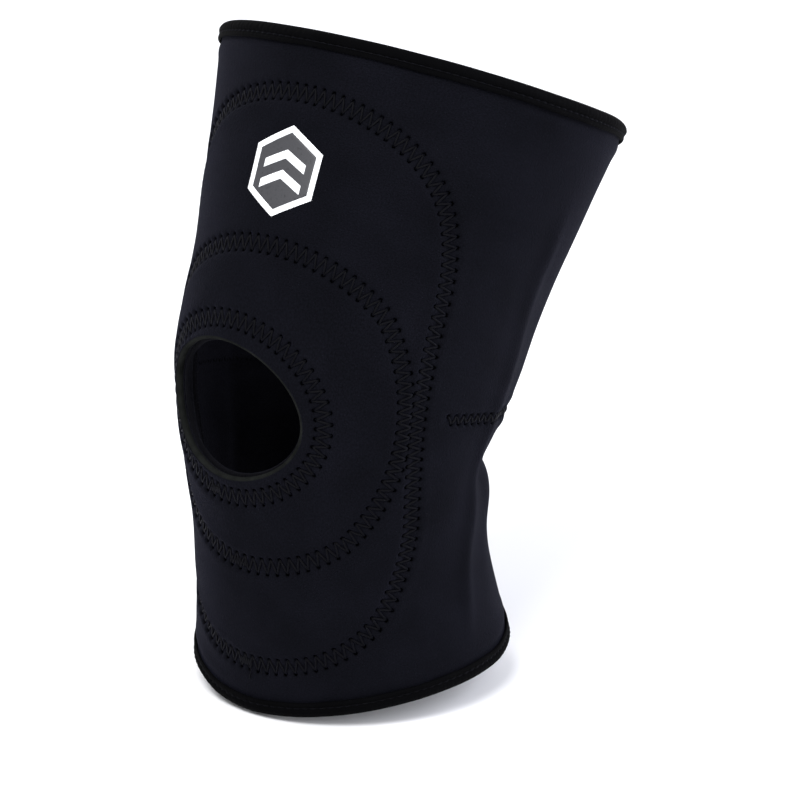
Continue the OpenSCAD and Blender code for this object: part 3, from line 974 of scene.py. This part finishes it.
FACE_SETBACK, FACE_PARTS, NEEDLE_SHADE_REACH, ROOM_BELOW = 0.4, 4, 0.72, 0.95
face_grid = tube_grid(300, 178, -FACE_SETBACK, 18)
fine_places, fine_quads, fine_others = refine(face_grid, near_stitches(face_grid), FACE_PARTS)
fine_rise = relief(fine_places)
face_rise = relief(face_grid[0], detail=False) - 0.02
face_away = row_away(on_leg(face_grid[0]))
face_bottom = FACE[1] + ROOM_BELOW * (1 - smooth(face_away, STITCH_SWING + 1.6, STITCH_SWING + 4.0))
for border, inside in face_grid[2]:
    face_bottom[border] = face_bottom[inside] = FACE[1]
fine_face = (fine_places, fine_quads, fine_others, fine_rise)
face = ply("face_fabric", face_grid, FACE[0], face_bottom, 3, 0.15, face_rise, fine_face)
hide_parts("face_fabric_upper", "face_fabric_lower")
needle_away, leg_away = stitches_away(on_leg(fine_places))
# Painted shade in the stitch pits: full at the needle holes, 0.6 along the thread's legs, kept as a vertex
# layer for the face jersey
pit_shade = np.maximum(bell(needle_away, 0.8), 0.6 * bell(leg_away, 0.55))
pit_shade_layer = face.data.attributes.new(PIT_SHADE_LAYER, "FLOAT", "POINT")
pit_shade_layer.data.foreach_set("value", np.pad(pit_shade, (0, len(face.data.vertices) - len(pit_shade))).astype(np.float32))
dress(bends(face), JERSEY)
# Painted shade: faces within reach of a needle hole take the near-black needle shade finish
hole_away = distances(NEEDLE_TREE, on_leg(middles(fine_places, fine_quads)), NEAR)
needle_shade_faces = np.zeros(len(face.data.polygons), np.int32)
needle_shade_faces[: len(fine_quads)] = hole_away < NEEDLE_SHADE_REACH
face.data.materials.append(NEEDLE_SHADE)
face.data.polygons.foreach_set("material_index", needle_shade_faces)

core_grid = tube_grid(220, 130, 0.1, 14)
core_away = window_away(core_grid[0])
sink = 1.1 * smooth(core_away, 1.2, 3.2) - 0.22 * (1 - smooth(core_away, 0.3, 1.6))
core = ply("foam_core", core_grid, FOAM[0] + sink, FOAM[1], 8, 0.75)
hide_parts("foam_core_upper", "foam_core_lower")
dress(bends(core), FOAM_EDGE)

lining_grid = tube_grid(220, 130, -0.1, 12)
lining = ply("lining", lining_grid, *LINING, 3, 0.1)
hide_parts("lining_upper", "lining_lower")
dress(bends(lining), JERSEY_INSIDE)

# ---------------- reinforcement panel and kneecap pad
def pad_share(places):
    """1 where the pad is full thickness and 0 off it, by the places' share of the way between the loops."""
    loops = (INNER_LOOP, MIDDLE_LOOP)
    inner, middle = (np.linalg.norm((places - loop[0]) / loop[1], axis=-1) for loop in loops)
    share = clamp((inner - 1) / np.maximum(inner - 1 + np.maximum(1 - middle, 0), 1e-6), 0, 1)
    return smooth(share, PAD_START, PAD_FULL[0]) * (1 - smooth(share, PAD_FULL[1], PAD_END))


panel_edge, _ = evenly(outer_round(np.arange(0, 360, 0.5), PANEL_MARGIN), 320)
panel_grid = round_grid(window_places(PANEL_REACH, window_turns(panel_edge)), panel_edge, 64)
panel_top = PANEL_TOP + PAD_THICK * pad_share(panel_grid[0])
panel_thick = PANEL_THICK - 1.0 * (1 - smooth(window_away(panel_grid[0]), 0.5, 5))
panel = ply("reinforcement_panel", panel_grid, panel_top, panel_top + panel_thick, 5, 0.3)
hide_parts("reinforcement_upper", "reinforcement_lower")
dress(bends(panel), PANEL_JERSEY)

PAD_TURNS = np.arange(0, 360, 1.5)
pad_grid = round_grid(between_loops(PAD_START, PAD_TURNS), between_loops(PAD_END, PAD_TURNS), 16)
pad_bottom = PANEL_TOP - 0.1 + (PAD_THICK - 0.15) * pad_share(pad_grid[0]) + 0.15
pad = ply("kneecap_pad", pad_grid, PANEL_TOP - 0.12, pad_bottom, 4, 0.4)
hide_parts("kneecap_pad")
dress(bends(pad), PAD_FOAM)

# ---------------- threads
ROW_PIECES = {
    "outer": ("outer_loop_stitching", ["outer_loop_stitching_upper", "outer_loop_stitching_lower"]),
    "middle": ("middle_loop_stitching", ["middle_loop_stitching"]),
    "inner": ("inner_loop_stitching", ["inner_loop_stitching"]),
    "back_seam": ("back_seam_stitching", ["back_seam_stitching_upper", "back_seam_stitching_lower"]),
    "dart": ("dart_stitching", ["dart_stitching_left", "dart_stitching_right"]),
}
for row_name, (piece_name, stands_for) in ROW_PIECES.items():
    thread = zigzag_thread(piece_name, row_name)
    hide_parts(*stands_for)
    dress(bends(thread), THREAD)
for row_name, depth in (("outer", PANEL_TOP + PANEL_THICK), ("back_seam", LINING[1]), ("dart", LINING[1])):
    bobbin = zigzag_thread(ROW_PIECES[row_name][0] + "_inside", row_name, depth, inward=True, radius=0.22)
    dress(bends(bobbin), THREAD)


# A satin stitch as (share of its length, lift)
SATIN = ((0, -0.5), (0.15, 0.3), (0.5, 0.55), (0.85, 0.3))
SATIN_TURNS, BARTACK_RADIUS, TAIL_RADIUS = 13, 0.3, 0.22


def bartack(name, centre, length, width):
    """A dense block of satin stitches across a row's end, about the centre, a place."""
    centre = np.array(centre, float)
    point, out = on_leg(centre), outward(centre)
    across = unit(on_leg(centre + [1, 0]) - point)
    upright = np.cross(out, across)
    ends = [
        across * ((k / (SATIN_TURNS - 1) - 0.5) * length) + upright * (width / 2 * (1 if k % 2 else -1))
        for k in range(SATIN_TURNS)
    ]
    path = []
    for here, after in zip(ends, ends[1:]):
        path += [(here * (1 - share) + after * share, lift) for share, lift in SATIN]
    route = shifted(np.repeat(centre[None], len(path), 0), point, np.array([p for p, _ in path]))
    return laid_thread(name, route, np.array([lift for _, lift in path]), BARTACK_RADIUS)


def thread_tail(name, start, fall, side):
    """A cut end of thread that lies on the face fabric."""
    shares = np.linspace(0, 1, 12)
    route = np.array(start) + np.stack([side * np.sin(shares * 2.6), -fall * shares], -1)
    lift = -0.4 + 0.75 * np.sin(np.minimum(shares * 2.2, 1) * math.pi / 2)
    return laid_thread(name, route, lift, TAIL_RADIUS)


OUTER_FOOT = OUTER_BOTTOM[0] - OUTER_BOTTOM[1]
EXTRAS = [
    bartack("middle_loop_bartack", (-7, MIDDLE_LOOP[0, 1] - MIDDLE_LOOP[1, 1]), 8.0, 3.2),
    bartack("inner_loop_bartack", (-17, INNER_LOOP[0, 1] - INNER_LOOP[1, 1] * 0.985), 6.0, 3.2),
    bartack("outer_loop_bartack", (-6, OUTER_FOOT), 6.0, 3.2),
    thread_tail("thread_tail_long", (-4.0, OUTER_FOOT + 1), 7.0, 0.8),
    thread_tail("thread_tail_short", (2.5, OUTER_FOOT + 0.5), 3.5, -0.9),
]
for extra in EXTRAS:
    dress(bends(extra), THREAD)

# ---------------- bindings
TAPE_THICK, SLACK_OUT, SLACK_IN = 0.8, 0.15, 0.3
RIM_ROW, RIM_THREAD, RIM_STITCH = 4.35, 0.24, 3.3
LAMINATE = LINING[1]


def binding_outline(radius):
    """The folded tape's cross-section as [radius, height], from the outside edge over the crown and down."""
    outside, inside = radius + SLACK_OUT, radius - LAMINATE - SLACK_IN
    heights = np.array([-6.6, -6.2, -5.6, -5.0, -4.6, -RIM_ROW, -4.1, -3.7, -3.1, -2.4])
    swell = np.array([0.62, 0.98, 1.14, 1.02, 0.7, 0.52, 0.74, 1.12, 1.42, 1.5])
    lower = [[outside + s, h] for s, h in zip(swell, heights)]
    middle, half = (outside + inside) / 2, (outside - inside) / 2 + TAPE_THICK
    crown = [
        [middle + (half + 0.55 * max(math.cos(t), 0)) * math.cos(t), -half + 0.35 + half * math.sin(t)]
        for t in np.linspace(0.12, math.pi, 14)
    ]
    tail = [[inside - TAPE_THICK - 0.1 * math.sin(h), h] for h in (-3.2, -4.0, -4.8, -5.6, -6.4)]
    back = [[inside - 0.04, h] for h in (-6.6, -5.4, -4.2, -3.2)]
    inner_half = (outside - inside) / 2 - 0.04
    under = [
        [middle + inner_half * math.cos(t), -half + 0.35 + inner_half * math.sin(t)]
        for t in np.linspace(math.pi, 0, 10)
    ]
    front = [[outside + 0.04, h] for h in (-3.4, -4.4, -5.6, -6.5)]
    return np.array(lower + crown + tail + back + under + front)


def binding(name, along, columns):
    """A folded tape round a rim, puckered by its row of stitches, and that row's thread."""
    def rim_at(turns):
        """The rim's points, and the outward and rimward directions there."""
        places = np.stack([np.degrees(turns), np.full_like(turns, along)], -1)
        before = on_leg(places - [0, math.copysign(1.0, along)])
        return on_leg(places), outward(places), unit(on_leg(places) - before)

    turns = np.arange(columns) * 2 * math.pi / columns
    rim, radial, rimward = rim_at(turns)
    radius = float(section_at(np.array(along))[0])
    stitches = round(2 * math.pi * radius / RIM_STITCH)
    pucker = np.cos(stitches * turns)
    ripple = 0.10 * np.sin(7 * turns + 0.6) + 0.07 * np.sin(17 * turns + 2.1)
    outline = binding_outline(radius)
    hollow = bell(outline[:, 1] + RIM_ROW, 0.9) * (outline[:, 0] > radius)
    edge = bell(outline[:, 1] + 6.4, 0.7) * (outline[:, 0] > radius)
    roll = bell(outline[:, 1] + 2.2, 1.6) * (outline[:, 0] > radius)
    reach = outline[None, :, 0] + pucker[:, None] * (0.16 * hollow - 0.10 * roll)
    reach = reach + ripple[:, None] * 0.9 * roll
    height = outline[None, :, 1] + ripple[:, None] * (0.3 + 0.9 * edge)
    points = rim[:, None] + radial[:, None] * (reach - radius)[..., None]
    points = points + rimward[:, None] * height[..., None]
    number = np.arange(points.shape[0] * points.shape[1]).reshape(points.shape[:2])
    quads = lattice(np.vstack([number, number[:1]]))
    around = (turns - math.pi) / (2 * math.pi) * GIRTH
    uv = np.stack([np.repeat(around, len(outline)), np.tile(reach_along(outline) * MM, columns)], -1)
    tape = add_mesh(name, points.reshape(-1, 3), quads, uv)
    steps = 6 * stitches
    turns = np.arange(steps) * 2 * math.pi / steps
    rim, radial, rimward = rim_at(turns)
    reach = SLACK_OUT + 0.62 + 0.30 * np.cos(stitches * turns)
    points = rim + radial * reach[:, None] - rimward * RIM_ROW
    return tape, tube(name + "_stitching", points, radial, RIM_THREAD, closed=True)


for binding_name, rim_along, part, rim_columns in (
    ("thigh_binding", THIGH_LENGTH, "thigh_part", 600),
    ("calf_binding", -CALF_LENGTH, "calf_part", 480),
):
    tape, thread = binding(binding_name + "_tape", rim_along, rim_columns)
    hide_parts(binding_name)
    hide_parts(binding_name + "_stitching")
    dress(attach(tape, part), TAPE)
    dress(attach(thread, part), THREAD)

# ---------------- emblem: a plain hexagon with two chevrons
EMBLEM_ALONG, EMBLEM_ACROSS = 74.0, 35.0
HEXAGON_STEPS, CHEVRON_STEPS, CHEVRON_RINGS = 14, 40, 6
CHEVRON_HALF, CHEVRON_RISE, CHEVRON_THICK, CHEVRON_LIFTS = 9.4, 4.6, 3.4, (0.24, 0.02)


def on_emblem(flat):
    """Places of points drawn flat in millimetres about the emblem's centre."""
    centre = np.array([0.0, EMBLEM_ALONG])
    point = on_leg(centre)
    lean = float(lean_at(np.array(EMBLEM_ALONG)))
    move = flat[:, :1] * np.array([1.0, 0, 0]) + flat[:, 1:] * np.array([0, math.sin(lean), math.cos(lean)])
    start = shifted(np.repeat(centre[None], len(flat), 0), point, move)
    for _ in range(4):
        start = shifted(start, on_leg(start), move - (on_leg(start) - point))
    return start


def printed(name, outer, inner, lift, rings, material):
    """A raised print between two outlines drawn flat."""
    grid = round_grid(on_emblem(inner), on_emblem(outer), rings)
    obj = ply(name, grid, -lift, 0.05, 3, 0.06)
    dress(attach(obj, "thigh_part"), material)
    return obj


def hexagon(half):
    turns = np.radians(np.arange(0, 360, 60))
    corners = half * np.stack([np.sin(turns), np.cos(turns)], -1)
    shares = np.arange(HEXAGON_STEPS)[:, None] / HEXAGON_STEPS
    return np.vstack([a * (1 - shares) + b * shares for a, b in zip(corners, np.roll(corners, -1, 0))])


def chevron(name, low):
    """A raised chevron that points up, its arms' lower ends at that height."""
    across = np.linspace(-CHEVRON_HALF, CHEVRON_HALF, CHEVRON_STEPS + 1)
    lower = np.stack([across, low + CHEVRON_RISE * (1 - np.abs(across) / CHEVRON_HALF)], -1)
    shares = np.linspace(0, 1, CHEVRON_RINGS + 1)
    places = np.vstack([on_emblem(lower + [0, CHEVRON_THICK * s]) for s in shares])
    number = np.arange(len(places)).reshape(CHEVRON_RINGS + 1, -1)
    rise = relief(places, detail=False)
    points = np.vstack([raised(places, rise + lift) for lift in CHEVRON_LIFTS])
    rim = np.concatenate([number[0], number[1:, -1], number[-1, -2::-1], number[-2:0:-1, 0]])
    face_quads = lattice(number, closed=False)
    quads = np.vstack([face_quads, face_quads[:, ::-1] + len(places), strip(rim, rim + len(places))])
    return add_mesh(name, points, quads, np.vstack([cloth_uv(places)] * 2))


HALF = EMBLEM_ACROSS / 2
printed("emblem_field", hexagon(HALF - 2.7), hexagon(0.05), 0.12, 16, GREY_INK)
ring = printed("emblem_ring", hexagon(HALF), hexagon(HALF - 2.6), 0.22, 4, WHITE_INK)
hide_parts("emblem")
for chevron_name, low in (("emblem_chevron_upper", 0.2), ("emblem_chevron_lower", -7.6)):
    dress(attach(chevron(chevron_name, low), "thigh_part"), WHITE_INK)

# ---------------- floor and light
FLOOR_SIZE, FLOOR_STEPS, FLOOR_FLAT, FLOOR_CURVE = 6.0, 40, 1.6, 0.6
low_corner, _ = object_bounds()


def add_stage():
    bpy.ops.mesh.primitive_grid_add(
        size=FLOOR_SIZE,
        x_subdivisions=FLOOR_STEPS,
        y_subdivisions=FLOOR_STEPS,
        location=(0, 0, low_corner.z - 0.001),
    )
    floor = bpy.context.object
    floor.name = "floor"
    for vertex in floor.data.vertices:
        vertex.co.z += FLOOR_CURVE * max(0.0, vertex.co.y - FLOOR_FLAT) ** 2
    floor.data.materials.append(flat_finish("pale_floor", (0.86, 0.86, 0.87), 0.9))


def add_light(name, location, size, energy, colour=(1, 1, 1)):
    data = bpy.data.lights.new(name, "AREA")
    data.shape = "RECTANGLE"
    data.size, data.size_y = size
    data.energy, data.color = energy, colour
    light = bpy.data.objects.new(name, data)
    light.location = location
    light.rotation_euler = (-Vector(location)).to_track_quat("-Z", "Y").to_euler()
    bpy.context.scene.collection.objects.link(light)


add_stage()
add_light("key", (0.3, -1.5, 2.1), (1.4, 1.0), 66)
add_light("fill", (1.7, -0.9, 0.9), (1.2, 1.2), 15, (0.93, 0.95, 1.0))
add_light("rim_right", (1.3, 1.3, 0.9), (0.8, 1.6), 30, (0.86, 0.88, 1.0))
add_light("rim_left", (-1.6, 0.5, 0.9), (0.8, 1.4), 7)

world = bpy.data.worlds.new("studio")
world.use_nodes = True
world.node_tree.nodes["Background"].inputs["Color"].default_value = (0.96, 0.97, 1.0, 1)
world.node_tree.nodes["Background"].inputs["Strength"].default_value = 0.78
bpy.context.scene.world = world
bpy.context.scene.view_settings.view_transform = "Standard"
